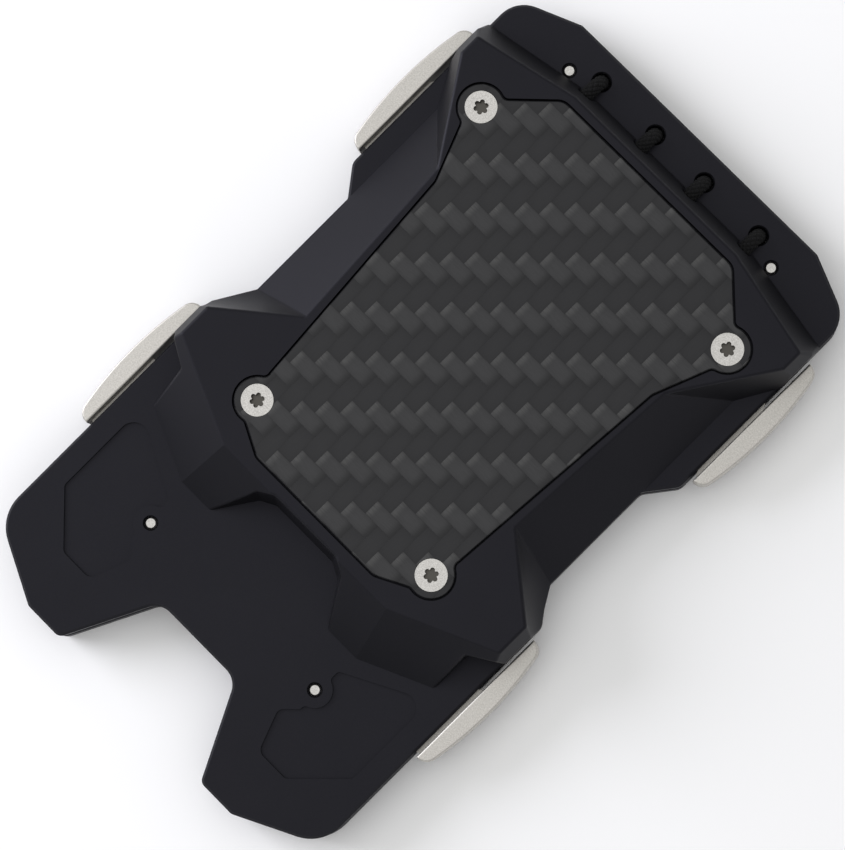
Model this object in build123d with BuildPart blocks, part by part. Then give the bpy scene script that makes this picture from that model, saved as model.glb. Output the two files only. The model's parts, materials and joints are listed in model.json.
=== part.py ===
from build123d import *
import math
import os

# Money clip and card holder, millimetres.
# +X across, +Y towards the cord end, +Z out of the clip's face.
# It lies on its back plate; the origin is the middle of the back plate's underside.

# ---- plates ----
plate_width = 54.0
plate_length = 93.8
back_thickness = 3.0
front_thickness = 1.8
waist_depth = 2.85         # how far each side is cut in, to reach the cards
waist_ramp = 3.7           # length of the slant into the waist
waist_radius = 1.5
cord_corner_in = 7.8       # chamfered corners of the cord end
cord_corner_drop = 3.2
cord_corner_radius = 3.8
fork_corner_in = 10.0      # chamfered corners of the fork end
fork_corner_drop = 5.0
fork_corner_radius = 5.0
notch_mouth = 23.8         # fork notch, width at the prong tips
notch_floor = 12.5         # its width at the inner end
notch_depth = 11.3
notch_radius = 2.5
tip_radius = 1.0
edge_break = 0.3
back_edge_break = 0.5

# ---- side guards ----
guard_arm = 1.2            # thickness of the arm under the front plate
guard_height = 3.9         # height of the lug, down from the front plate's face
guard_length = 19.1
guard_reach = 2.4          # how far the lug's outer arc bulges
guard_gap = 0.5            # slit between the lug and the plates' edges
guard_bulge = 1.0          # sagitta of that arc
guard_end_radius = 1.5
guard_edge_break = 0.25
guard_root = 10.0          # length of the lug that the arm joins
upper_guard_from_end = 19.2   # centre of the upper lugs, from the cord end
lower_guard_from_end = 29.45  # centre of the lower lugs, from the fork end
rest_clearance = 0.1       # between parts that only lie on each other

# ---- guard screws, countersunk from below ----
screw_land = 0.15          # upright rim of every countersunk head
screw_tip_below = 0.15     # guard screw's tip, below the front plate's face
guard_screw = 1.6
guard_screw_head = 3.0
guard_screw_head_height = 0.9
guard_screw_mouth = 0.12   # air round the tip in its threaded hole's mouth
guard_screw_mouth_depth = 0.6
upper_screw_in = 10.5      # from the side of the plate
upper_screw_from_end = 4.85
lower_screw_in = 13.3
lower_screw_from_end = 17.0
dowel = 1.5                # locating stud on each guard's arm
dowel_height = 0.8

# ---- elastic cord ----
cord = 1.8
cord_hole_clearance = 0.2  # air round the cord in its holes
cord_hole_break = 0.15
cord_from_end = 3.2
cord_outer = 25.7          # spacing of the outer two holes
cord_inner = 8.0           # spacing of the inner two holes
cord_lift = 0.2            # air under the cord where it crosses the plate
cord_bend = 1.8            # bend where a cord turns down into its hole
cord_under_bend = 1.35     # bend under the back plate
cord_sink = 0.2            # how far the cord lies below the back plate's underside
groove_clearance = 0.15
arch_rise = 0.4            # arch above the cord, for the clip's swing
arch_clearance = 0.25      # air beside the cord in its arch

# ---- raised cover, the clip's jaw ----
cover_height = 5.4
cover_over = 0.2           # how far its sides stand out past the plate
cover_waist_over = 0.15    # how far its waist stands out past the plate's waist
cover_side_band = 2.7      # upright lower part of its sides
cover_side_lean = 1.1      # lean of their upper part, in plan
cover_end_gap = 5.0        # cord end of the plate to the cover's base
cover_corner_drop = 2.5
cover_corner_length = 6.4
cover_shoulder = 5.0       # from the corner down to the waist
cover_top_in = 2.1         # cord end wall, lean in plan
cover_top_corner_drop = 2.9
cover_top_corner_length = 2.7
cover_top_shoulder = 11.6
cover_straight = 26.2      # flat middle of the cord end wall
cover_fork_gap = 23.0      # fork end of the plate to the cover's base
cover_bevel = 5.9          # lean of the waist's side bevel in plan, at its cord end
cover_bevel_growth = 1.3   # how much more it leans at its fork end
lobe_slope = 6.7           # lean of the front slope in plan
lobe_ridge = 29.0          # width between the two ridges of the front slope
lobe_corner = 5.7          # how much the slope's outer end stands back
lobe_step = 3.6            # step cut in the lobe's outer side
lobe_step_length = 5.3
lobe_step_start = 4.1      # from the lobes' tips to the step
lobe_step_end = 6.7        # from the slope's outer end to where the step runs out
thumb_floor = 10.4         # thumb notch between the lobes
thumb_mouth = 20.4
thumb_depth = 5.9
thumb_lean = 0.9
thumb_radius = 1.6
cover_wall = 1.4
cover_web = 1.0            # roof left under the inlay
cover_edge = 0.45
boss_radius = 2.1
boss_height = 1.8

# ---- inlay ----
inlay_thickness = 1.2
inlay_gap = 0.22           # line of air round the inlay
inlay_rim = 1.3            # cover rim at the inlay's cord end
inlay_fork_rim = 1.75      # and at its fork end
inlay_lobe_rim = 0.82      # width of the lobe round each screw's head
neck_radius = 0.9
inlay_screw = 2.0
inlay_screw_head = 3.8
inlay_screw_head_height = 1.2
inlay_screw_length = 3.6
torx = 1.8
torx_depth = 0.8

# ---- hinge under the cover ----
hinge_from_cover = 5.1     # pin axis, from the cover's cord end
hinge_height = 1.5         # pin axis above the front plate
hinge_inner = 15.0         # inner face of the bracket, from the middle
hinge_ear = 1.0
hinge_lug = 1.2
hinge_side_clearance = 0.1
spring_width = 1.6
knuckle_radius = 1.25
pin_radius = 0.6
pin_clearance = 0.05
bracket_length = 7.6
bracket_back = 0.35        # flange's edge behind the knuckles
bracket_thickness = 1.0
bracket_screw = 1.6
bracket_screw_head = 2.9
bracket_screw_head_height = 0.8
bracket_screw_spacing = 3.4
spring_wire = 0.34
spring_coil_radius = 0.95
spring_turns = 3.25
swing_slope = 0.1          # rise of the cover's underside beyond the hinge, so that it can dip

# ---- cord anchors under the cover ----
anchor_from_cover = 6.6
anchor_flange = 0.3        # anchor above the cord
anchor_lip = 0.35          # height of its sloping lip
anchor_lip_out = 0.5
anchor_screw_head = 3.2

# ---- thumb pockets on the prongs ----
pocket_depth = 0.3
pocket_side = 2.9          # from the side of the plate
pocket_length = 18.3
pocket_from_end = 7.35
pocket_bay_radius = 2.1    # round the guard's screw
pocket_soft_radius = 0.6

# ---- worked-out values ----
half_width = plate_width / 2
half_length = plate_length / 2
waist_half = half_width - waist_depth
back_top = back_thickness
front_bottom = back_top + guard_arm + rest_clearance
front_top = front_bottom + front_thickness
cover_bottom = front_top + rest_clearance
cover_top = cover_bottom + cover_height
cover_roof = cover_top - inlay_thickness - cover_web
cover_end = half_length - cover_end_gap
cover_fork = cover_fork_gap - half_length
cover_side = half_width + cover_over
waist_upper = cover_end - 25.3
waist_lower = cover_fork + 17.6
cord_y = half_length - cord_from_end
cord_radius = cord / 2
cord_hole = cord + 2 * cord_hole_clearance
guard_screw_hole = guard_screw + 2 * guard_screw_mouth
inlay_lobe_radius = inlay_screw_head / 2 + inlay_lobe_rim
guard_inner = half_width + guard_gap
upper_guard_y = half_length - upper_guard_from_end
lower_guard_y = lower_guard_from_end - half_length
upper_screw = (half_width - upper_screw_in, half_length - upper_screw_from_end)
lower_screw = (half_width - lower_screw_in, lower_screw_from_end - half_length)
hinge_y = cover_end - hinge_from_cover
hinge_z = front_top + hinge_height
lug_inner = hinge_inner + hinge_ear + hinge_side_clearance
spring_inner = lug_inner + hinge_lug + hinge_side_clearance
spring_outer = spring_inner + spring_width
lug_outer = spring_outer + hinge_side_clearance
hinge_outer = lug_outer + hinge_lug + hinge_side_clearance + hinge_ear
bracket_middle = (hinge_inner + hinge_outer) / 2
bracket_screw_y = hinge_y - 2.6
anchor_x = (cord_outer + cord_inner) / 4
anchor_y = cover_end - anchor_from_cover
anchor_radius = (cord_outer - cord_inner) / 4 - cord_radius - 0.02
anchor_height = cord_lift + cord + anchor_flange
cord_middle = front_top + cord_lift + cord_radius
arch_top = cord_middle + arch_rise   # middle of the arch that each cord passes in under
arch_radius = cord_radius + arch_clearance
sides = {"right": 1, "left": -1}

os.makedirs("parts", exist_ok=True)


def save(piece, name):
    piece.part.label = name
    export_step(piece.part, f"parts/{name}.step")


def both_halves(points, radii=None):
    """Face from the +X half of an outline, mirrored to -X; the points start and end on X = 0."""
    with BuildSketch() as face:
        with BuildLine():
            if radii is None:
                Polyline(*points)
            else:
                FilletPolyline(*points, radius=radii)
            mirror(about=Plane.YZ)
        make_face()
    return face.sketch


# ---- outlines shared by more than one piece ----
def plate_outline():
    points = [
        (0, half_length),
        (half_width - cord_corner_in, half_length),
        (half_width, half_length - cord_corner_drop),
        (half_width, waist_upper),
        (waist_half, waist_upper - waist_ramp),
        (waist_half, waist_lower + waist_ramp),
        (half_width, waist_lower),
        (half_width, fork_corner_drop - half_length),
        (half_width - fork_corner_in, -half_length),
        (notch_mouth / 2, -half_length),
        (notch_floor / 2, notch_depth - half_length),
        (0, notch_depth - half_length),
    ]
    radii = [
        tip_radius,
        cord_corner_radius,
        waist_radius,
        waist_radius,
        waist_radius,
        waist_radius,
        fork_corner_radius,
        tip_radius,
        tip_radius,
        notch_radius,
    ]
    return both_halves(points, radii)


def cover_section(share):
    """Half outline of the cover at a share of its height, 0 at the base and 1 at the top face.

    The sides lean all the way here; they are cut upright afterwards, at the cover's side.
    """
    lean_share = cover_side_band / cover_height
    lean_side = cover_side + cover_side_lean * lean_share / (1 - lean_share)
    overrun = lean_side - cover_side
    corner_y = cover_end - cover_corner_drop
    shoulder_y = corner_y - cover_corner_length
    waist_x = waist_half + cover_waist_over
    end_slope = cover_corner_drop / (cover_side - cover_straight / 2)
    shoulder_slope = cover_shoulder / (cover_side - waist_x)
    lobe_rise = (cover_side - waist_x) / (waist_ramp + 1.1)
    base = [
        (cover_straight / 2, cover_end),
        (lean_side, corner_y - overrun * end_slope),
        (lean_side, shoulder_y + overrun * shoulder_slope),
        (waist_x, shoulder_y - cover_shoulder),
        (waist_x, waist_lower + waist_ramp + 0.8),
        (lean_side, waist_lower - 0.3 - overrun / lobe_rise),
        (lean_side, cover_fork + lobe_corner + overrun * 0.45),
        (lobe_ridge / 2, cover_fork),
    ]
    top_side = cover_side - cover_side_lean
    top_corner_y = cover_end - cover_top_in - cover_top_corner_drop
    top_shoulder_y = top_corner_y - cover_top_corner_length
    lobe_top = cover_fork + lobe_slope
    top = [
        (cover_straight / 2 - 0.1, cover_end - cover_top_in),
        (top_side, top_corner_y),
        (top_side, top_shoulder_y),
        (waist_x - cover_bevel, top_shoulder_y - cover_top_shoulder),
        (waist_x - cover_bevel - cover_bevel_growth, waist_lower + waist_ramp + 2.5),
        (top_side, waist_lower - 0.9),
        (top_side, lobe_top + lobe_corner),
        (lobe_ridge / 2 - 1.2, lobe_top),
    ]
    section = [
        (low[0] + (high[0] - low[0]) * share, low[1] + (high[1] - low[1]) * share)
        for low, high in zip(base, top)
    ]
    return [(0, section[0][1])] + section + [(0, section[-1][1])]


def cavity_section(share):
    """Half outline of the hollow inside the cover, one wall in from the cover's own outline."""
    outer = cover_section(share)
    lobe_inside = half_width - lobe_step - cover_wall
    side_inside = cover_side - cover_side_lean - cover_wall
    end_slope = (outer[1][1] - outer[2][1]) / (outer[2][0] - outer[1][0])
    corner_y = outer[2][1] + (outer[2][0] - side_inside) * end_slope - cover_wall
    return [
        (0, outer[1][1] - cover_wall),
        (outer[1][0] - 0.2, outer[1][1] - cover_wall),
        (side_inside, corner_y),
        (side_inside, outer[3][1] - 0.4),
        (outer[4][0] - cover_wall - 0.3, outer[4][1]),
        (outer[5][0] - cover_wall, outer[5][1]),
        (lobe_inside, outer[6][1] - 1.0),
        (lobe_inside, cover_fork + lobe_slope + 3.6),
        (0, cover_fork + lobe_slope + 3.6),
    ]


upper_inlay_screw = (half_width - 7.05, cover_end - 10.55)
lower_inlay_screw = (half_width - 12.75, cover_fork + 13.1)
inlay_screws_at = [
    (sign * x, y) for x, y in (upper_inlay_screw, lower_inlay_screw) for sign in (1, -1)
]


def inlay_outline(grow):
    """The inlay's outline, with a round lobe at each screw, grown by the gap for its pocket."""
    upper_x, upper_y = upper_inlay_screw
    lower_x, lower_y = lower_inlay_screw
    head_edge = cover_end - cover_top_in - inlay_rim
    fork_edge = cover_fork + lobe_slope + inlay_fork_rim
    points = [
        (0, head_edge),
        (upper_x - 6.35, head_edge),
        (upper_x - 0.95, upper_y + 2.05),
        (upper_x + 0.65, upper_y - 1.85),
        (waist_half - cover_bevel - 0.75, waist_upper + 5.0),
        (waist_half - cover_bevel - 2.9, lower_y + 3.3),
        (lower_x - 0.25, lower_y - 2.4),
        (lower_x - 4.65, fork_edge),
        (0, fork_edge),
    ]
    with BuildSketch() as face:
        add(both_halves(points, [1.8, 0.5, 0.5, 1.5, 0.5, 0.5, 1.6]))
        with Locations(*inlay_screws_at):
            Circle(inlay_lobe_radius)
        # out and back in again, which rounds the necks beside the lobes
        offset(amount=neck_radius)
        offset(amount=grow - neck_radius)
    return face.sketch


def countersunk(x, y, top_z, head, head_height, shank, length, up=True):
    """Frustum head and plain shank of a countersunk screw, added to the part being built."""
    way = 1 if up else -1
    profile = [
        (0, 0),
        (head / 2, 0),
        (head / 2, -screw_land),
        (shank / 2, -head_height),
        (shank / 2, 0.25 - length),
        (shank / 2 - 0.25, -length),
        (0, -length),
    ]
    with BuildSketch(Plane(origin=(x, y, top_z), x_dir=(1, 0, 0), z_dir=(0, -way, 0))) as half:
        with BuildLine():
            Polyline(*profile, close=True)
        make_face()
    revolve(half.sketch, axis=Axis((x, y, top_z), (0, 0, 1)))


def countersink_cut(x, y, top_z, head, head_height, shank, length, up=True):
    """The matching countersunk hole, taken out of the part being built."""
    way = 1 if up else -1
    profile = [
        (0, 0.5),
        (head / 2, 0.5),
        (head / 2, -screw_land),
        (shank / 2, -head_height),
        (shank / 2, -length),
        (0, -length),
    ]
    with BuildSketch(Plane(origin=(x, y, top_z), x_dir=(1, 0, 0), z_dir=(0, -way, 0))) as half:
        with BuildLine():
            Polyline(*profile, close=True)
        make_face()
    revolve(half.sketch, axis=Axis((x, y, top_z), (0, 0, 1)), mode=Mode.SUBTRACT)


def torx_recess(x, y, top_z, across, depth, up=True):
    """Six-lobed socket, taken out of a screw's head."""
    way = 1 if up else -1
    with BuildSketch(Plane(origin=(x, y, top_z), x_dir=(1, 0, 0), z_dir=(0, 0, way))) as star:
        Circle(across * 0.36)
        with PolarLocations(across * 0.34, 6):
            Circle(across * 0.16)
    extrude(star.sketch, amount=-depth, mode=Mode.SUBTRACT)


cord_holes = [(x, cord_y) for x in (cord_outer / 2, cord_inner / 2, -cord_inner / 2, -cord_outer / 2)]

# ---- back plate ----
with BuildPart() as back_plate:
    with BuildSketch():
        add(plate_outline())
    extrude(amount=back_thickness)
    chamfer(back_plate.faces().sort_by(Axis.Z)[0].edges(), length=back_edge_break)
    chamfer(back_plate.faces().sort_by(Axis.Z)[-1].edges(), length=edge_break)
    with BuildSketch():
        for sign in (1, -1):
            with Locations((sign * anchor_x, cord_y)):
                SlotCenterToCenter((cord_outer - cord_inner) / 2, cord + 2 * groove_clearance)
    extrude(amount=cord + cord_sink, mode=Mode.SUBTRACT)
    with BuildSketch():
        with Locations(*cord_holes):
            Circle(cord_hole / 2)
    extrude(amount=back_thickness, mode=Mode.SUBTRACT)
save(back_plate, "back_plate")


# ---- thumb pockets: a faceted outline with a bay round the guard screw ----
def thumb_pocket():
    outer = half_width - pocket_side
    low = pocket_from_end - half_length
    high = low + pocket_length
    screw_x, screw_y = lower_screw
    with BuildSketch() as face:
        with BuildLine():
            FilletPolyline(
                (outer, high),
                (screw_x + 0.4, high - 5.2),
                (screw_x + 0.4, screw_y - 2.75),
                (screw_x - 1.45, screw_y - 4.55),
                (screw_x + 0.45, low),
                (screw_x + 4.85, low),
                (outer, low + 5.6),
                radius=[1.9, 0.5, 0.5, 1.0, 1.2, 1.0, 0.8],
                close=True,
            )
        make_face()
        with Locations(lower_screw):
            Circle(pocket_bay_radius, mode=Mode.SUBTRACT)
        # in and back out again, which softens the bay's two corners
        offset(amount=-pocket_soft_radius)
        offset(amount=pocket_soft_radius)
    return face.sketch


# ---- side guards: a D-shaped lug beside the cards and an arm screwed under the front plate ----
def guard_lug(centre_y):
    """Straight inner wall, one shallow outer arc, and rounded corners between them."""
    half = guard_length / 2
    shoulder = guard_inner + guard_reach - guard_bulge
    with BuildSketch() as face:
        with BuildLine():
            Polyline(
                (shoulder, centre_y - half),
                (guard_inner, centre_y - half),
                (guard_inner, centre_y + half),
                (shoulder, centre_y + half),
            )
            ThreePointArc(
                (shoulder, centre_y + half),
                (guard_inner + guard_reach, centre_y),
                (shoulder, centre_y - half),
            )
        make_face()
        fillet(face.vertices().group_by(Axis.X)[-1], radius=guard_end_radius)
    return face.sketch


def guard_dowel_at(centre_y, screw):
    """Middle of the arm, between the lug's root and the screw."""
    return ((guard_inner + screw[0]) / 2, (guard_root_y(centre_y) + screw[1]) / 2)


def guard_root_y(centre_y):
    return centre_y - guard_length / 2 + guard_root / 2 + 0.8


def side_guard(centre_y, screw, sign):
    screw_z = front_bottom - guard_arm
    with BuildPart() as guard:
        with BuildSketch(Plane.XY.offset(front_top - guard_height)):
            add(guard_lug(centre_y))
        extrude(amount=guard_height)
        fillet(guard.faces().filter_by(Axis.Z).edges(), radius=guard_edge_break)
        with BuildSketch(Plane.XY.offset(screw_z)):
            with Locations(screw):
                Circle(guard_screw_head / 2 + 0.7)
            with Locations((guard_inner + 0.2, guard_root_y(centre_y))):
                Rectangle(0.8, guard_root)
            make_hull()
        extrude(amount=guard_arm)
        with BuildSketch(Plane.XY.offset(front_bottom)):
            with Locations(guard_dowel_at(centre_y, screw)):
                Circle(dowel / 2)
        extrude(amount=dowel_height)
        countersink_cut(*screw, screw_z, guard_screw_head, guard_screw_head_height,
                        guard_screw, guard_arm + 0.5, up=False)
        if sign < 0:
            mirror(about=Plane.YZ, mode=Mode.REPLACE)
    return guard


guard_places = {"upper": (upper_guard_y, upper_screw), "lower": (lower_guard_y, lower_screw)}
for height, (centre_y, screw) in guard_places.items():
    for side, sign in sides.items():
        save(side_guard(centre_y, screw, sign), f"side_guard_{height}_{side}")

guard_screw_length = guard_arm + front_thickness - screw_tip_below
guard_screws_at = [(sign * x, y) for x, y in (upper_screw, lower_screw) for sign in (1, -1)]
with BuildPart() as guard_screws:
    for x, y in guard_screws_at:
        countersunk(x, y, front_bottom - guard_arm, guard_screw_head, guard_screw_head_height,
                    guard_screw, guard_screw_length, up=False)
        torx_recess(x, y, front_bottom - guard_arm, 1.4, 0.6, up=False)
save(guard_screws, "guard_screws")

# ---- front plate ----
bracket_screws_at = [
    (sign * bracket_middle, bracket_screw_y - step)
    for sign in (1, -1)
    for step in (0, bracket_screw_spacing)
]
anchors_at = [(anchor_x, anchor_y), (-anchor_x, anchor_y)]
plate_screw_depth = front_thickness - 0.4
with BuildPart() as front_plate:
    with BuildSketch(Plane.XY.offset(front_bottom)):
        add(plate_outline())
    extrude(amount=front_thickness)
    chamfer(front_plate.faces().sort_by(Axis.Z)[0].edges(), length=edge_break)
    chamfer(front_plate.faces().sort_by(Axis.Z)[-1].edges(), length=edge_break)
    with BuildSketch(Plane.XY.offset(front_bottom)):
        with Locations(*cord_holes):
            Circle(cord_hole / 2)
        with Locations(*guard_screws_at):
            Circle(guard_screw / 2)
    extrude(amount=front_thickness, mode=Mode.SUBTRACT)
    chamfer(
        front_plate.faces().sort_by(Axis.Z)[-1].edges().filter_by(GeomType.CIRCLE)
        .filter_by(lambda edge: abs(edge.radius - cord_hole / 2) < 0.01),
        length=cord_hole_break,
    )
    with BuildSketch(Plane.XY.offset(front_top)):
        with Locations(*guard_screws_at):
            Circle(guard_screw_hole / 2)
    extrude(amount=-guard_screw_mouth_depth, mode=Mode.SUBTRACT)
    with BuildSketch(Plane.XY.offset(front_top)):
        add(thumb_pocket())
        mirror(about=Plane.YZ)
    extrude(amount=-pocket_depth, mode=Mode.SUBTRACT)
    # blind holes for the guards' dowels, from below
    with BuildSketch(Plane.XY.offset(front_bottom)):
        for centre_y, screw in guard_places.values():
            dowel_x, dowel_y = guard_dowel_at(centre_y, screw)
            with Locations((dowel_x, dowel_y), (-dowel_x, dowel_y)):
                Circle(dowel / 2 + 0.03)
    extrude(amount=dowel_height + 0.1, mode=Mode.SUBTRACT)
    # threaded holes for what is screwed on under the cover
    with BuildSketch(Plane.XY.offset(front_top)):
        with Locations(*bracket_screws_at, *anchors_at):
            Circle(bracket_screw / 2)
    extrude(amount=-plate_screw_depth, mode=Mode.SUBTRACT)
save(front_plate, "front_plate")


# ---- clip cover: a hollow faceted shell with a thumb notch, its hinge lugs inside ----
def thumb_notch(share):
    """The notch's outline; its walls lean back as they rise."""
    lean = thumb_lean * share
    floor_y = cover_fork + thumb_depth + lean
    return both_halves(
        [
            (0, cover_fork - 2),
            (thumb_mouth / 2 + 0.9 + lean * 0.5, cover_fork - 2),
            (thumb_floor / 2 + 1.3 + lean * 0.5, floor_y - 0.1 - 0.9),
            (thumb_floor / 2 + lean * 0.3 - 0.6, floor_y),
            (0, floor_y),
        ],
        [0.01, thumb_radius * 0.6, thumb_radius * 0.6],
    )


def hinge_profile(radius, rise_to, width):
    """Eye round the pin with a straight web up or down to a level."""
    with BuildSketch(Plane.YZ) as face:
        with Locations((hinge_y, hinge_z)):
            Circle(radius)
        with Locations((hinge_y, (hinge_z + rise_to) / 2)):
            Rectangle(width, abs(rise_to - hinge_z))
    return face.sketch


def is_blunt_ridge(edge):
    """Whether an edge rises from a base corner where the wall hardly turns."""
    foot = min(edge @ 0, edge @ 1, key=lambda point: point.Z)
    blunt_corners = (0, cover_straight / 2, lobe_ridge / 2)
    at_blunt_corner = any(abs(abs(foot.X) - x) < 0.02 for x in blunt_corners)
    return foot.Z < cover_bottom + 0.01 and at_blunt_corner


with BuildPart() as clip_cover:
    with BuildSketch(Plane.XY.offset(cover_bottom)):
        add(both_halves(cover_section(0)))
    with BuildSketch(Plane.XY.offset(cover_top)):
        add(both_halves(cover_section(1)))
    loft(ruled=True)
    # the sides' lower part is upright
    with BuildSketch(Plane.XY.offset(cover_bottom)):
        Rectangle(2 * cover_side, plate_length)
    extrude(amount=cover_height, mode=Mode.INTERSECT)
    # the lobes' outer sides stand back from the plate's edge
    with BuildSketch(Plane.XY.offset(cover_bottom)):
        with BuildLine():
            Polyline(
                (cover_side + 1, cover_fork + lobe_corner + lobe_step_end),
                (half_width - lobe_step, cover_fork + lobe_step_start + lobe_step_length),
                (half_width - lobe_step, cover_fork - 1),
                (cover_side + 1, cover_fork - 1),
                close=True,
            )
        make_face()
        mirror(about=Plane.YZ)
    extrude(amount=cover_height, mode=Mode.SUBTRACT)
    with BuildSketch(Plane.XY.offset(cover_bottom)):
        add(thumb_notch(0))
    with BuildSketch(Plane.XY.offset(cover_top)):
        add(thumb_notch(1))
    loft(ruled=True, mode=Mode.SUBTRACT)
    # soft edges above the base, except the ridges that are too blunt to need it
    soft_edges = clip_cover.edges().filter_by(
        lambda edge: edge.center().Z > cover_bottom + 0.1 and not is_blunt_ridge(edge))
    fillet(soft_edges, radius=cover_edge)
    # hollow underneath, with a boss left round each inlay screw
    roof_share = (cover_roof - cover_bottom) / cover_height
    with BuildSketch(Plane.XY.offset(cover_bottom)):
        add(both_halves(cavity_section(0)))
    with BuildSketch(Plane.XY.offset(cover_roof)):
        add(both_halves(cavity_section(roof_share)))
    loft(ruled=True, mode=Mode.SUBTRACT)
    with BuildSketch(Plane.XY.offset(cover_roof + 0.2)):
        with Locations(*inlay_screws_at):
            Circle(boss_radius)
    extrude(amount=-boss_height - 0.2)
    # pocket for the inlay and threaded holes for its screws
    with BuildSketch(Plane.XY.offset(cover_top)):
        add(inlay_outline(inlay_gap))
    extrude(amount=-inlay_thickness, mode=Mode.SUBTRACT)
    with BuildSketch(Plane.XY.offset(cover_top)):
        with Locations(*inlay_screws_at):
            Circle(inlay_screw / 2)
    extrude(amount=-inlay_screw_length - 0.2, mode=Mode.SUBTRACT)
    # hinge lugs hanging from the roof, two on each side
    lug_faces = [sign * (x + hinge_lug / 2) for sign in (1, -1) for x in (lug_inner, lug_outer)]
    for x in lug_faces:
        extrude(hinge_profile(knuckle_radius, cover_roof + 0.2, 2 * knuckle_radius).moved(
            Location((x, 0, 0))), amount=hinge_lug / 2, both=True)
        with BuildSketch(Plane.YZ.offset(x)):
            with Locations((hinge_y, hinge_z)):
                Circle(pin_radius + pin_clearance)
        extrude(amount=hinge_lug, both=True, mode=Mode.SUBTRACT)
    # arches in the cord end wall, where the cords pass in
    for x, y in cord_holes:
        with BuildSketch(Plane(origin=(x, cover_end + 0.5, 0), x_dir=(1, 0, 0), z_dir=(0, -1, 0))):
            with Locations((0, arch_top)):
                Circle(arch_radius)
            with Locations((0, (arch_top + cover_bottom) / 2)):
                Rectangle(2 * arch_radius, arch_top - cover_bottom)
        extrude(amount=4.0, mode=Mode.SUBTRACT)
    # beyond the hinge the underside rises, so that the cord end can dip as the clip opens
    swing = hinge_from_cover + 2
    with BuildSketch(Plane.YZ) as wedge:
        with BuildLine():
            Polyline(
                (hinge_y, cover_bottom),
                (hinge_y + swing, cover_bottom + swing * swing_slope),
                (hinge_y + swing, cover_bottom - 0.5),
                (hinge_y, cover_bottom - 0.5),
                close=True,
            )
        make_face()
    extrude(wedge.sketch, amount=plate_width, both=True, mode=Mode.SUBTRACT)
save(clip_cover, "clip_cover")

# ---- inlay and its screws ----
with BuildPart() as carbon_inlay:
    with BuildSketch(Plane.XY.offset(cover_top - inlay_thickness)):
        add(inlay_outline(0))
    extrude(amount=inlay_thickness)
    chamfer(carbon_inlay.faces().sort_by(Axis.Z)[-1].edges(), length=0.12)
    for x, y in inlay_screws_at:
        countersink_cut(x, y, cover_top, inlay_screw_head + 0.1, inlay_screw_head_height - 0.1,
                        inlay_screw + 0.1, inlay_thickness + 0.5)
save(carbon_inlay, "carbon_inlay")

with BuildPart() as inlay_screws:
    for x, y in inlay_screws_at:
        countersunk(x, y, cover_top, inlay_screw_head, inlay_screw_head_height - 0.1,
                    inlay_screw, inlay_screw_length)
        torx_recess(x, y, cover_top, torx, torx_depth)
save(inlay_screws, "inlay_screws")


# ---- hinge: a bracket on the front plate, a pin, and a spring that holds the clip shut ----
def hinge_bracket(sign):
    width = hinge_outer - hinge_inner
    flange_y = hinge_y - knuckle_radius - bracket_back - bracket_length / 2
    with BuildPart() as bracket:
        with BuildSketch(Plane.XY.offset(front_top)):
            with Locations((bracket_middle, flange_y)):
                RectangleRounded(width, bracket_length, 0.8)
        extrude(amount=bracket_thickness)
        for x in (hinge_inner + hinge_ear / 2, hinge_outer - hinge_ear / 2):
            with BuildSketch(Plane.YZ.offset(x)) as ear:
                with Locations((hinge_y, hinge_z)):
                    Circle(knuckle_radius)
                with Locations((hinge_y - 2.6, front_top + bracket_thickness / 2)):
                    Rectangle(1.6, bracket_thickness)
                make_hull()
            extrude(amount=hinge_ear / 2, both=True)
        with BuildSketch(Plane.YZ.offset(hinge_inner)):
            with Locations((hinge_y, hinge_z)):
                Circle(pin_radius)
        extrude(amount=width, mode=Mode.SUBTRACT)
        for x, y in bracket_screws_at[:2]:
            countersink_cut(x, y, front_top + bracket_thickness, bracket_screw_head,
                            bracket_screw_head_height, bracket_screw, bracket_thickness + 0.5)
        if sign < 0:
            mirror(about=Plane.YZ, mode=Mode.REPLACE)
    return bracket


def hinge_pin(sign):
    with BuildPart() as pin:
        with BuildSketch(Plane.YZ.offset(hinge_inner + 0.1)):
            with Locations((hinge_y, hinge_z)):
                Circle(pin_radius)
        extrude(amount=hinge_outer - hinge_inner - 0.2)
        chamfer(pin.edges().filter_by(GeomType.CIRCLE), length=0.12)
        if sign < 0:
            mirror(about=Plane.YZ, mode=Mode.REPLACE)
    return pin


def torsion_spring(sign):
    """Coil round the pin, one arm down on the bracket and one up under the cover's roof."""
    pitch = (spring_width - spring_wire - 0.1) / spring_turns
    start_x = spring_inner + 0.05 + spring_wire / 2
    end_x = start_x + pitch * spring_turns
    flange_rest = front_top + bracket_thickness + spring_wire / 2
    roof_rest = cover_roof - spring_wire / 2 - 0.05
    with BuildPart() as spring:
        with BuildLine():
            coil = Helix(pitch, pitch * spring_turns, spring_coil_radius,
                         center=(start_x, hinge_y, hinge_z), direction=(1, 0, 0))
        with BuildSketch(Plane(origin=coil @ 0, z_dir=coil % 0)):
            Circle(spring_wire / 2)
        sweep(path=coil)
        arms = [
            (coil @ 0, (start_x, hinge_y + 1.4, roof_rest)),
            (coil @ 1, (end_x, hinge_y - 4.2, flange_rest)),
        ]
        for foot, tip in arms:
            with BuildLine():
                arm = Line(foot, tip)
            with BuildSketch(Plane(origin=arm @ 0, z_dir=arm % 0)):
                Circle(spring_wire / 2)
            sweep(path=arm)
        if sign < 0:
            mirror(about=Plane.YZ, mode=Mode.REPLACE)
    return spring


for side, sign in sides.items():
    save(hinge_bracket(sign), f"hinge_bracket_{side}")
    save(hinge_pin(sign), f"hinge_pin_{side}")
    save(torsion_spring(sign), f"torsion_spring_{side}")

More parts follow.
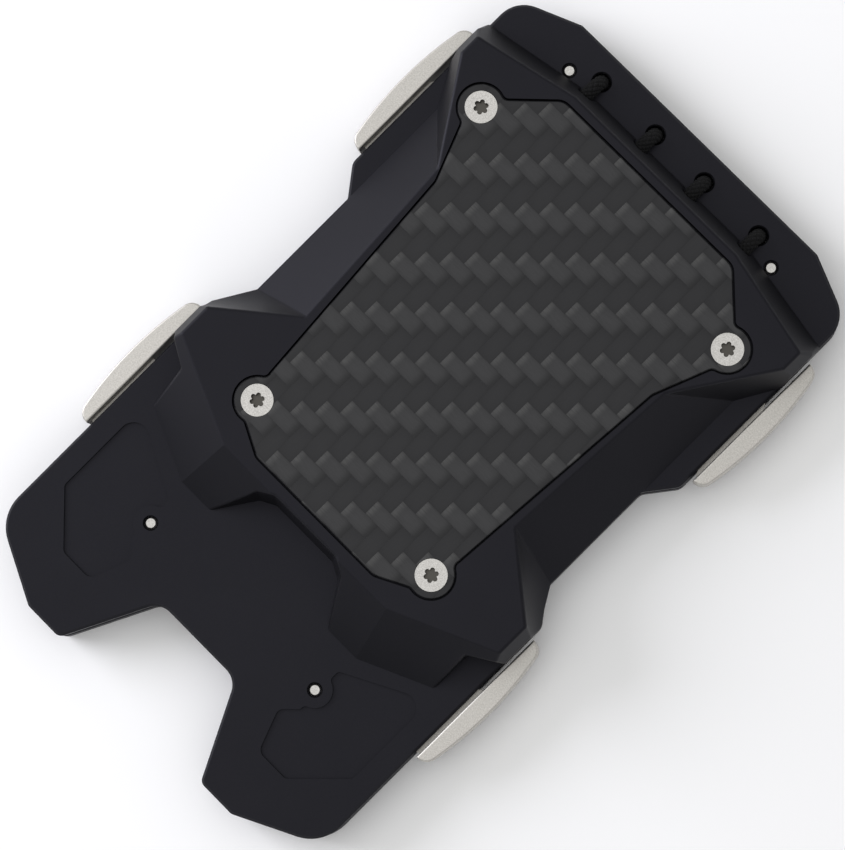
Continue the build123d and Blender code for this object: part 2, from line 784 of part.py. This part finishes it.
with BuildPart() as bracket_screws:
    for x, y in bracket_screws_at:
        countersunk(x, y, front_top + bracket_thickness, bracket_screw_head, bracket_screw_head_height,
                    bracket_screw, bracket_thickness + plate_screw_depth)
        torx_recess(x, y, front_top + bracket_thickness, 1.3, 0.5)
save(bracket_screws, "bracket_screws")


# ---- cord anchors: a lipped spool that each cord loops round, under the cover ----
def cord_anchor(x):
    with BuildPart() as anchor:
        with BuildSketch(Plane(origin=(x, anchor_y, front_top), x_dir=(1, 0, 0), z_dir=(0, -1, 0))):
            with BuildLine():
                Polyline(
                    (0, 0),
                    (anchor_radius, 0),
                    (anchor_radius, anchor_height - anchor_lip),
                    (anchor_radius + anchor_lip_out, anchor_height - 0.1),
                    (anchor_radius + anchor_lip_out, anchor_height + 0.1),
                    (0, anchor_height + 0.1),
                    close=True,
                )
            make_face()
        revolve(axis=Axis((x, anchor_y, front_top), (0, 0, 1)))
        countersink_cut(x, anchor_y, front_top + anchor_height + 0.1, anchor_screw_head,
                        bracket_screw_head_height, bracket_screw, anchor_height + 0.6)
    return anchor


for side, sign in sides.items():
    save(cord_anchor(sign * anchor_x), f"cord_anchor_{side}")

with BuildPart() as anchor_screws:
    for x, y in anchors_at:
        top = front_top + anchor_height + 0.1
        countersunk(x, y, top, anchor_screw_head, bracket_screw_head_height, bracket_screw,
                    anchor_height + 0.1 + plate_screw_depth)
        torx_recess(x, y, top, 1.3, 0.5)
save(anchor_screws, "anchor_screws")


# ---- elastic cords: over the plate and round the anchor, through the gap, and under the back ----
def cord_tube(points, radii, sign):
    with BuildPart() as tube:
        with BuildLine():
            run = FilletPolyline(*[(sign * x, y, z) for x, y, z in points], radius=radii)
        with BuildSketch(Plane(origin=run @ 0, z_dir=run % 0)):
            Circle(cord_radius)
        sweep(path=run)
    print("cord run", round(run.length, 1), "mm, bends", [round(radius, 2) for radius in radii])
    return tube


cord_low = cord_sink + cord_radius
loop_radius = (cord_outer - cord_inner) / 4
near, far = cord_inner / 2, cord_outer / 2
for side, sign in sides.items():
    front_run = cord_tube(
        [
            (near, cord_y, front_bottom),
            (near, cord_y, cord_middle),
            (near, anchor_y - loop_radius, cord_middle),
            (far, anchor_y - loop_radius, cord_middle),
            (far, cord_y, cord_middle),
            (far, cord_y, front_bottom),
        ],
        [cord_bend, loop_radius - 0.01, loop_radius - 0.01, cord_bend],
        sign,
    )
    save(front_run, f"cord_front_{side}")
    back_run = cord_tube(
        [
            (near, cord_y, back_top),
            (near, cord_y, cord_low),
            (far, cord_y, cord_low),
            (far, cord_y, back_top),
        ],
        [cord_under_bend, cord_under_bend],
        sign,
    )
    save(back_run, f"cord_back_{side}")
    with BuildPart() as legs:
        with BuildSketch(Plane.XY.offset(back_top)):
            with Locations((sign * near, cord_y), (sign * far, cord_y)):
                Circle(cord_radius)
        extrude(amount=front_bottom - back_top)
    save(legs, f"cord_legs_{side}")
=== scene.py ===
import bpy
import json
import math
import numpy as np
from mathutils import Matrix, Vector


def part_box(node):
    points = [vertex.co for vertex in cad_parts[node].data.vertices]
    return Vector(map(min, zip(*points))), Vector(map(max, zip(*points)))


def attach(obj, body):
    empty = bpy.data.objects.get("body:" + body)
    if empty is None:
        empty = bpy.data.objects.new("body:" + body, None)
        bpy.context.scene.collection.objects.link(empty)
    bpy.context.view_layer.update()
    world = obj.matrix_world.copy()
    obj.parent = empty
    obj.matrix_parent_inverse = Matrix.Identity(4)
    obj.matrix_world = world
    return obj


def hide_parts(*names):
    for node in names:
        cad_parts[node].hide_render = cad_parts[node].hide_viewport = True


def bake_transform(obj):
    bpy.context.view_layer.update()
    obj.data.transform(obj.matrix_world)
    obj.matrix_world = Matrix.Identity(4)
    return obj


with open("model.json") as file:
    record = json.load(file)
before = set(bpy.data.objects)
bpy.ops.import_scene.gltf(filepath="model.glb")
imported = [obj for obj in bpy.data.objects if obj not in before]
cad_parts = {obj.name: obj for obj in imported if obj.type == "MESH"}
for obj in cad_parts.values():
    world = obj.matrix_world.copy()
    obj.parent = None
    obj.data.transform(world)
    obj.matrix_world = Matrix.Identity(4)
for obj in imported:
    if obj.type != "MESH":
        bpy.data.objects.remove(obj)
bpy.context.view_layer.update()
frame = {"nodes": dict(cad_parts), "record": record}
mm = 0.001


def hexToLinear(text):
    # sRGB hex to linear light: the low end is a straight line, the rest a 2.4 power
    parts = [int(text[i:i + 2], 16) / 255 for i in (1, 3, 5)]
    return tuple(c / 12.92 if c <= 0.04045 else ((c + 0.055) / 1.055) ** 2.4 for c in parts) + (1.0,)


def addNode(tree, kind, settings=None, links=None):
    # one node with its settings; links maps an input to another node's output or to a plain value
    node = tree.nodes.new(kind)
    for name, value in (settings or {}).items():
        setattr(node, name, value)
    for socket, value in (links or {}).items():
        if isinstance(value, bpy.types.NodeSocket):
            tree.links.new(value, node.inputs[socket])
        else:
            node.inputs[socket].default_value = value
    return node


def newMaterial(name):
    material = bpy.data.materials.new(name)
    material.use_nodes = True
    tree = material.node_tree
    shader = tree.nodes["Principled BSDF"]
    coords = addNode(tree, "ShaderNodeTexCoord")
    return material, tree, shader, coords.outputs["Object"]


def rampColours(tree, fac, stops):
    ramp = addNode(tree, "ShaderNodeValToRGB", links={"Fac": fac})
    while len(ramp.color_ramp.elements) < len(stops):
        ramp.color_ramp.elements.new(0.5)
    for element, (position, colour) in zip(ramp.color_ramp.elements, stops):
        element.position = position
        element.color = hexToLinear(colour)
    return ramp.outputs["Color"]


# camera: looks down on the clip's face, leaning a little to the +X side
camera = {
    "aimMm": (0.74, 0.64, 6.1),
    "distanceMm": 400.0,
    "leanDeg": 6.2,        # off the face's normal, towards +X
    "turnDeg": 45.0,       # +Y points this far clockwise from straight up
    "scalePerMm": 8.6,     # frame units to a millimetre at the aim point
    "frameHeight": 850,
    "sensorMm": 36.0,
}


def makeCamera(spec):
    lean, turn = math.radians(spec["leanDeg"]), math.radians(spec["turnDeg"])
    back = Vector((math.sin(lean), 0, math.cos(lean)))
    across = Vector((math.cos(lean), 0, -math.sin(lean)))
    along = Vector((0, 1, 0))
    right = across * math.cos(turn) + along * math.sin(turn)
    up = along * math.cos(turn) - across * math.sin(turn)
    data = bpy.data.cameras.new("camera")
    data.sensor_width = spec["sensorMm"]
    data.lens = spec["scalePerMm"] * spec["distanceMm"] / spec["frameHeight"] * spec["sensorMm"]
    data.clip_start, data.clip_end = 0.01, 10
    made = bpy.data.objects.new("camera", data)
    bpy.context.scene.collection.objects.link(made)
    place = (Vector(spec["aimMm"]) + back * spec["distanceMm"]) * mm
    made.matrix_world = Matrix.Translation(place) @ Matrix((right, up, back)).transposed().to_4x4()
    bpy.context.scene.camera = made


makeCamera(camera)
print("camera ready")

# floor and light: a pale sweep, a big soft box low on the -X side, a weak one overhead
stageSettings = {
    "floorColour": "#ffffff",
    "floorRoughness": 0.9,
    "floorMm": 1600.0,
    "keySizeMm": 420.0,
    "keyPlaceMm": (-500.0, -210.0, 250.0),
    "keyWatts": 2.7,
    "keyColour": "#f6f6ff",
    "topSizeMm": 620.0,
    "topPlaceMm": (-150.0, -60.0, 650.0),
    "topWatts": 0.7,
    "skyColour": "#ffffff",
    "skyStrength": 0.62,
}


def makeLamp(name, place, size, watts, colour="#ffffff"):
    data = bpy.data.lights.new(name, "AREA")
    data.shape = "DISK"
    data.size = size * mm
    data.energy = watts
    data.color = hexToLinear(colour)[:3]
    lamp = bpy.data.objects.new(name, data)
    bpy.context.scene.collection.objects.link(lamp)
    here = Vector(place) * mm
    lamp.location = here
    lamp.rotation_euler = (-here).to_track_quat("-Z", "Y").to_euler()


def makeStage(spec):
    half = spec["floorMm"] * mm / 2
    mesh = bpy.data.meshes.new("floor")
    corners = [(-half, -half, 0), (half, -half, 0), (half, half, 0), (-half, half, 0)]
    mesh.from_pydata(corners, [], [(0, 1, 2, 3)])
    floor = bpy.data.objects.new("floor", mesh)
    bpy.context.scene.collection.objects.link(floor)
    material, tree, shader, coords = newMaterial("matt_paper_sweep")
    shader.inputs["Base Color"].default_value = hexToLinear(spec["floorColour"])
    shader.inputs["Roughness"].default_value = spec["floorRoughness"]
    mesh.materials.append(material)
    makeLamp("keyLamp", spec["keyPlaceMm"], spec["keySizeMm"], spec["keyWatts"], spec["keyColour"])
    makeLamp("topLamp", spec["topPlaceMm"], spec["topSizeMm"], spec["topWatts"])
    world = bpy.data.worlds.new("softRoom")
    bpy.context.scene.world = world
    world.use_nodes = True
    sky = world.node_tree.nodes["Background"]
    sky.inputs["Color"].default_value = hexToLinear(spec["skyColour"])
    sky.inputs["Strength"].default_value = spec["skyStrength"]
    bpy.context.scene.view_settings.view_transform = "Standard"


makeStage(stageSettings)
print("stage ready")


def noiseAt(tree, coords, sizeMm, detail=2.0, stretch=None):
    # noise whose grains are about sizeMm across; stretch squeezes it along each axis
    if stretch:
        coords = addNode(tree, "ShaderNodeMapping", {}, {"Vector": coords, "Scale": stretch}).outputs["Vector"]
    noise = addNode(tree, "ShaderNodeTexNoise", {},
                    {"Vector": coords, "Scale": 1 / (sizeMm * mm), "Detail": detail})
    return noise.outputs["Fac"]


def math2(tree, operation, first, second=0.0, third=0.0, clamp=False):
    node = addNode(tree, "ShaderNodeMath", {"operation": operation, "use_clamp": clamp},
                   {0: first, 1: second, 2: third})
    return node.outputs[0]


def setRange(tree, shader, name, value, low, high):
    # drives one input of the shader between two values
    spread = addNode(tree, "ShaderNodeMapRange", {}, {"Value": value, "To Min": low, "To Max": high})
    tree.links.new(spread.outputs["Result"], shader.inputs[name])


def setBump(tree, shader, height, distanceMm, strength=0.8):
    bump = addNode(tree, "ShaderNodeBump", {},
                   {"Height": height, "Distance": distanceMm * mm, "Strength": strength})
    tree.links.new(bump.outputs["Normal"], shader.inputs["Normal"])


blackAnodised = {
    "low": "#070709",      # dye in the pits of the blasted surface
    "high": "#121214",     # on its tops
    "grainMm": 0.14,       # bead-blasting grit
    "cloudMm": 9.0,        # slow unevenness of the dye
    "roughness": (0.42, 0.54),
    "bumpMm": 0.005,
    "ior": 1.42,
    "specular": 0.30,      # the dyed pores swallow part of the sheen
    "tint": "#ecebff",
}


def makeBlackAnodised(name, spec):
    # black anodised aluminium, bead blasted: a dyed oxide skin, so a soft satin sheen and no mirror
    material, tree, shader, coords = newMaterial(name)
    grain = noiseAt(tree, coords, spec["grainMm"])
    cloud = noiseAt(tree, coords, spec["cloudMm"])
    mixed = math2(tree, "MULTIPLY_ADD", cloud, 0.35, grain)
    tree.links.new(rampColours(tree, mixed, [(0.35, spec["low"]), (0.95, spec["high"])]), shader.inputs["Base Color"])
    setRange(tree, shader, "Roughness", grain, *spec["roughness"])
    setBump(tree, shader, grain, spec["bumpMm"])
    shader.inputs["IOR"].default_value = spec["ior"]
    shader.inputs["Specular IOR Level"].default_value = spec["specular"]
    shader.inputs["Specular Tint"].default_value = hexToLinear(spec["tint"])
    return material


def makeMetal(name, spec, faceZ=None):
    # bare metal keeps its own reflection; the tool's or the grit's marks break it up.
    # faceZ is the height of a screw head's face: below it the socket is painted dark, painted shade of the recess
    # along with some cutting oil
    material, tree, shader, coords = newMaterial(name)
    grain = noiseAt(tree, coords, spec["grainMm"], 3.0, spec.get("stretch"))
    colour = rampColours(tree, grain, [(0.3, spec["low"]), (0.7, spec["high"])])
    if faceZ is not None:
        # painted shade: the colour goes to the dark socket colour with depth below the head's face
        height = addNode(tree, "ShaderNodeSeparateXYZ", {}, {"Vector": coords}).outputs["Z"]
        socketShadeMask = addNode(tree, "ShaderNodeMapRange", {}, {"Value": height, "From Min": faceZ - 0.05 * mm,
                                                         "From Max": faceZ - 0.4 * mm}).outputs["Result"]
        colour = addNode(tree, "ShaderNodeMix", {"data_type": "RGBA"},
                         {0: socketShadeMask, 6: colour, 7: hexToLinear(spec["socket"])}).outputs[2]
    tree.links.new(colour, shader.inputs["Base Color"])
    setRange(tree, shader, "Roughness", grain, *spec["roughness"])
    setBump(tree, shader, grain, spec["bumpMm"])
    shader.inputs["Metallic"].default_value = 1.0
    return material


# grit-blasted stainless: even, soft and grey, the peened dimples scatter the light
blastedSteel = {"low": "#b4b1ab", "high": "#cfccc6", "grainMm": 0.16, "roughness": (0.42, 0.55), "bumpMm": 0.004}
# turned and passivated stainless: brighter, with a tighter sheen
machinedSteel = {"low": "#a3a19d", "high": "#cbc9c5", "grainMm": 0.12, "roughness": (0.26, 0.38), "bumpMm": 0.002,
                 # socket: colour of the painted shade in a screw's socket below its face
                 "socket": "#4e4c48"}
# ground steel: marks along the grinding direction
groundSteel = {"low": "#8f8f8f", "high": "#b0b0ae", "grainMm": 0.2, "roughness": (0.3, 0.42), "bumpMm": 0.004,
               "stretch": (6, 1, 1)}
# drawn wire: smooth, greyed by the drawing lubricant
springWire = {"low": "#77777a", "high": "#98989c", "grainMm": 0.1, "roughness": (0.25, 0.35), "bumpMm": 0.002}
# turned aluminium: fine rings, pale
turnedAluminium = {"low": "#b2b3b6", "high": "#cdced1", "grainMm": 0.15, "roughness": (0.28, 0.4), "bumpMm": 0.003,
                   "stretch": (1, 1, 8)}

carbonTwill = {
    "pitchMm": (2.06, 2.02),     # width of a tow, across and along the clip
    "startMm": (-14.64, 35.3),   # corner of one weft float
    "weft": ("#151516", "#2e2e2f"),    # tow running across: painted shade in its hollows, painted highlight on its crown
    "warp": ("#101012", "#1c1c1e"),    # tow running along, painted darker than the weft because it is seen nearly end on to the light, with the same painted shade and highlight
    "glint": "#4c4c4b",          # painted highlight at a float's -X end, where it rises to the lamp
    "shade": 0.9,                # how much of the float's tail is lost in the next tow's shade
    "fibreMm": 0.07,             # bundles of filaments that can be told apart
    "reliefMm": 0.05,
    "roughness": (0.34, 0.44),
    "ior": 1.5,
    "specular": 0.3,
}


def makeCarbonTwill(name, spec):
    # 2/2 twill carbon cloth in a thin satin resin: each tow passes over two and under two, a step
    # further on in every row. u, v are counted in tows; weftPlace = (u - row) mod 4 and
    # warpPlace = (v - column + 3) mod 4 are the places along the four-tow repeat, and under 2 is on top
    material, tree, shader, coords = newMaterial(name)
    split = addNode(tree, "ShaderNodeSeparateXYZ", {}, {"Vector": coords})
    pitchX, pitchY = spec["pitchMm"]
    startX, startY = spec["startMm"]
    u = math2(tree, "MULTIPLY_ADD", split.outputs["X"], 1 / (pitchX * mm), -startX / pitchX + 400)
    v = math2(tree, "MULTIPLY_ADD", split.outputs["Y"], 1 / (pitchY * mm), -startY / pitchY + 400)
    column, row = math2(tree, "FLOOR", u), math2(tree, "FLOOR", v)
    weftPlace = math2(tree, "MODULO", math2(tree, "SUBTRACT", math2(tree, "ADD", u, 400.0), row), 4.0)
    warpPlace = math2(tree, "MODULO", math2(tree, "SUBTRACT", math2(tree, "ADD", v, 403.0), column), 4.0)
    isWeft = math2(tree, "LESS_THAN", weftPlace, 2.0)
    along = math2(tree, "MULTIPLY", weftPlace, 0.5)           # 0 to 1 over a weft float
    alongWarp = math2(tree, "MULTIPLY", warpPlace, 0.5)
    acrossWeft, acrossWarp = math2(tree, "FRACT", v), math2(tree, "FRACT", u)

    def crown(place, power):
        # sine arch between 0 and 1, flattened by the power
        arch = math2(tree, "SINE", math2(tree, "MULTIPLY", place, math.pi))
        return math2(tree, "POWER", math2(tree, "MAXIMUM", arch, 0.0), power)

    weftHeight = math2(tree, "MULTIPLY", crown(along, 0.22), crown(acrossWeft, 0.16))
    warpHeight = math2(tree, "MULTIPLY", crown(alongWarp, 0.22), crown(acrossWarp, 0.16))
    height = addNode(tree, "ShaderNodeMix", {"data_type": "FLOAT"},
                     {0: isWeft, 2: math2(tree, "MULTIPLY", warpHeight, 0.8), 3: weftHeight}).outputs[0]
    weftFibre = noiseAt(tree, coords, spec["fibreMm"], 2.0, (0.06, 1, 1))
    warpFibre = noiseAt(tree, coords, spec["fibreMm"], 2.0, (1, 0.06, 1))
    # painted shade and highlight: each tow's colour follows its relief height, dark in the hollows and bright on the
    # crown
    weftTone = math2(tree, "MULTIPLY", weftHeight, math2(tree, "MULTIPLY_ADD", weftFibre, 0.9, 0.45), clamp=True)
    warpTone = math2(tree, "MULTIPLY", warpHeight, math2(tree, "MULTIPLY_ADD", warpFibre, 0.9, 0.45), clamp=True)
    weftColour = rampColours(tree, weftTone, [(0.1, spec["weft"][0]), (0.95, spec["weft"][1])])
    warpColour = rampColours(tree, warpTone, [(0.1, spec["warp"][0]), (0.95, spec["warp"][1])])
    cloth = addNode(tree, "ShaderNodeMix", {"data_type": "RGBA"}, {0: isWeft, 6: warpColour, 7: weftColour}).outputs[2]
    # glint, a painted highlight: strongest just inside the float's -X end, gone after its first quarter
    rise = addNode(tree, "ShaderNodeMapRange", {"interpolation_type": "SMOOTHSTEP"},
                   {"Value": along, "From Min": 0.24, "From Max": 0.04}).outputs["Result"]
    glint = math2(tree, "MULTIPLY", math2(tree, "MULTIPLY", rise, isWeft),
                  math2(tree, "MULTIPLY", crown(acrossWeft, 0.3), math2(tree, "MULTIPLY_ADD", weftFibre, 1.2, -0.05)),
                  clamp=True)
    lit = addNode(tree, "ShaderNodeMix", {"data_type": "RGBA"},
                  {0: glint, 6: cloth, 7: hexToLinear(spec["glint"])}).outputs[2]
    # the +X end of a float dives under the next tow and lies in its shade
    dive = addNode(tree, "ShaderNodeMapRange", {"interpolation_type": "SMOOTHSTEP"},
                   {"Value": along, "From Min": 0.72, "From Max": 0.99}).outputs["Result"]
    shade = math2(tree, "MULTIPLY", math2(tree, "MULTIPLY", dive, isWeft), spec["shade"])
    lit = addNode(tree, "ShaderNodeMix", {"data_type": "RGBA"},
                  {0: shade, 6: lit, 7: hexToLinear(spec["warp"][0])}).outputs[2]
    tree.links.new(lit, shader.inputs["Base Color"])
    setRange(tree, shader, "Roughness", height, spec["roughness"][1], spec["roughness"][0])
    setBump(tree, shader, height, spec["reliefMm"], 0.5)
    shader.inputs["IOR"].default_value = spec["ior"]
    shader.inputs["Specular IOR Level"].default_value = spec["specular"]
    return material


braidedCord = {
    "low": "#010102",
    "high": "#0b0b0c",
    "fibreMm": 0.05,
    "roughness": 0.78,
    "bumpMm": 0.01,
    "sheen": 0.03,
    "sheenRoughness": 0.4,
    "specular": 0.25,
}


def makeBraid(name, spec):
    # polyester yarn: matt, slightly fuzzy threads that catch a grey edge light
    material, tree, shader, coords = newMaterial(name)
    fibre = noiseAt(tree, coords, spec["fibreMm"], 3.0)
    tree.links.new(rampColours(tree, fibre, [(0.3, spec["low"]), (0.8, spec["high"])]), shader.inputs["Base Color"])
    shader.inputs["Roughness"].default_value = spec["roughness"]
    shader.inputs["Sheen Weight"].default_value = spec["sheen"]
    shader.inputs["Specular IOR Level"].default_value = spec["specular"]
    shader.inputs["Sheen Roughness"].default_value = spec["sheenRoughness"]
    setBump(tree, shader, fibre, spec["bumpMm"])
    return material


finishes = {
    "black_plate": makeBlackAnodised("black_anodised_aluminium_plate", blackAnodised),
    "black_cover": makeBlackAnodised("black_anodised_aluminium_cover", blackAnodised),
    "carbon": makeCarbonTwill("carbon_fibre_twill_satin_resin", carbonTwill),
    "blasted_steel": makeMetal("stainless_steel_bead_blasted", blastedSteel),
    "screw_steel": makeMetal("stainless_steel_machined", machinedSteel),
    "hinge_steel": makeMetal("steel_ground", groundSteel),
    "spring_steel": makeMetal("spring_steel_drawn", springWire),
    "anchor_aluminium": makeMetal("aluminium_turned", turnedAluminium),
    "elastic_cord": makeBraid("polyester_braided_elastic", braidedCord),
}
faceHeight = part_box("inlay_screws")[1].z
for part in frame["record"]["subparts"]:
    mesh = frame["nodes"][part["node"]].data
    mesh.materials.clear()
    mesh.materials.append(finishes[part["material_slot"]])
screwMesh = frame["nodes"]["inlay_screws"].data
# the inlay screws get the painted socket shade below their face
screwMesh.materials[0] = makeMetal("stainless_steel_machined_socket_painted_shade", machinedSteel, faceHeight)
print("finishes ready")

# cords: braided tubes along the same runs as the smooth ones
braid = {
    "strands": 16,         # yarns that cross any one ring
    "turnMm": 5.4,         # length in which a yarn goes once round
    "plumpness": 0.26,     # how far a yarn stands out, as a share of the radius
    "around": 72,
    "stepMm": 0.055,
    "crossingBendMm": 1.8,
    "underBendMm": 1.35,
}


def roundedPath(points, radii, step):
    # straight runs joined by arcs: each corner's arc starts radius * tan(half the turn) before it
    points = np.asarray(points, float)
    pieces = [points[0]]
    for corner, radius in enumerate(radii, start=1):
        here = points[corner]
        into = here - points[corner - 1]
        out = points[corner + 1] - here
        into, out = into / np.linalg.norm(into), out / np.linalg.norm(out)
        turn = math.acos(float(np.clip(into @ out, -1, 1)))
        reach = radius * math.tan(turn / 2)
        inward = out - into * (into @ out)
        inward /= np.linalg.norm(inward)
        centre = here - into * reach + inward * radius
        for share in np.linspace(0, 1, max(4, int(radius * turn / step))):
            angle = turn * share
            pieces.append(centre - inward * radius * math.cos(angle) + into * radius * math.sin(angle))
    pieces.append(points[-1])
    pieces = np.array(pieces)
    lengths = np.concatenate([[0], np.cumsum(np.linalg.norm(np.diff(pieces, axis=0), axis=1))])
    places = np.linspace(0, lengths[-1], max(2, int(lengths[-1] / step)))
    return np.stack([np.interp(places, lengths, pieces[:, axis]) for axis in range(3)], axis=1), places


def braidedTube(name, path, places, radius, spec):
    # ring point = path + r * (normal * cos a + side * sin a); r = radius less the dips between two
    # families of yarns that wind opposite ways, the higher family showing at each spot
    tangent = np.gradient(path, axis=0)
    tangent /= np.linalg.norm(tangent, axis=1)[:, None]
    normal = np.zeros_like(path)
    first = np.cross(tangent[0], (1.0, 0.0, 0.0) if abs(tangent[0][0]) < 0.9 else (0.0, 1.0, 0.0))
    normal[0] = first / np.linalg.norm(first)
    for k in range(1, len(path)):   # carried along without twist
        carried = normal[k - 1] - tangent[k] * (normal[k - 1] @ tangent[k])
        normal[k] = carried / np.linalg.norm(carried)
    side = np.cross(tangent, normal)
    angle = np.arange(spec["around"]) * 2 * math.pi / spec["around"]
    half = spec["strands"] / 2
    wind = places[:, None] * 2 * math.pi / (spec["turnMm"] * mm)
    leftYarn = half * (angle[None, :] + wind)
    rightYarn = half * (angle[None, :] - wind)
    over = np.sin(leftYarn / 2 + rightYarn / 2) * np.sin(leftYarn / 2 - rightYarn / 2)
    yarnA, yarnB = np.abs(np.cos(leftYarn / 2)) ** 0.6, np.abs(np.cos(rightYarn / 2)) ** 0.6
    lift = np.where(over > 0, yarnA, yarnB)
    lift = 0.5 * lift + 0.25 * (yarnA + yarnB)
    ring = radius * (1 - spec["plumpness"] * (1 - lift))
    points = path[:, None, :] + ring[:, :, None] * (
        normal[:, None, :] * np.cos(angle)[None, :, None] + side[:, None, :] * np.sin(angle)[None, :, None])
    count, around = points.shape[:2]
    index = np.arange(count * around).reshape(count, around)
    after = np.roll(index, -1, axis=1)
    quads = np.stack([index[:-1], after[:-1], after[1:], index[1:]], axis=-1).reshape(-1, 4)
    verts = np.concatenate([points.reshape(-1, 3), path[:1], path[-1:]])
    startCap = np.stack([np.full(around, count * around), after[0], index[0]], axis=-1)
    endCap = np.stack([np.full(around, count * around + 1), index[-1], after[-1]], axis=-1)
    mesh = bpy.data.meshes.new(name)
    mesh.from_pydata(verts.tolist(), [], quads.tolist() + startCap.tolist() + endCap.tolist())
    mesh.polygons.foreach_set("use_smooth", np.ones(len(mesh.polygons), bool))
    mesh.materials.append(finishes["elastic_cord"])
    made = bpy.data.objects.new(name, mesh)
    bpy.context.scene.collection.objects.link(made)
    return made


def makeCords(spec):
    legLow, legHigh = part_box("cord_legs_right")
    radius = (legHigh.y - legLow.y) / 2
    near, far = legLow.x + radius, legHigh.x - radius
    holeY = (legLow.y + legHigh.y) / 2
    frontLow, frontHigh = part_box("cord_front_right")
    backLow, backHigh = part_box("cord_back_right")
    loopY, topZ = frontLow.y + radius, frontHigh.z - radius
    lowZ = backLow.z + radius
    loop = (far - near) / 2 - 0.01 * mm
    bend, under = spec["crossingBendMm"] * mm, spec["underBendMm"] * mm
    for side, sign in (("right", 1), ("left", -1)):
        overRun = [(near, holeY, legHigh.z), (near, holeY, topZ), (near, loopY, topZ),
                   (far, loopY, topZ), (far, holeY, topZ), (far, holeY, legHigh.z)]
        underRun = [(near, holeY, legLow.z), (near, holeY, lowZ), (far, holeY, lowZ), (far, holeY, legLow.z)]
        for kind, run, radii, body in (("front", overRun, [bend, loop, loop, bend], "front"),
                                       ("back", underRun, [under, under], "back")):
            points = [(sign * x, y, z) for x, y, z in run]
            path, places = roundedPath(points, radii, spec["stepMm"] * mm)
            tube = braidedTube(f"braid_{kind}_{side}", path, places, radius, spec)
            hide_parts(f"cord_{kind}_{side}")
            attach(tube, body)
        for leg, x in (("inner", near), ("outer", far)):
            foot, top = (sign * x, holeY, legLow.z), (sign * x, holeY, legHigh.z)
            path, places = roundedPath([foot, top], [], spec["stepMm"] * mm)
            tube = braidedTube(f"braid_leg_{leg}_{side}", path, places, radius, spec)
            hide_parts(f"cord_legs_{side}")
            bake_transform(tube)


makeCords(braid)
print("cords ready")
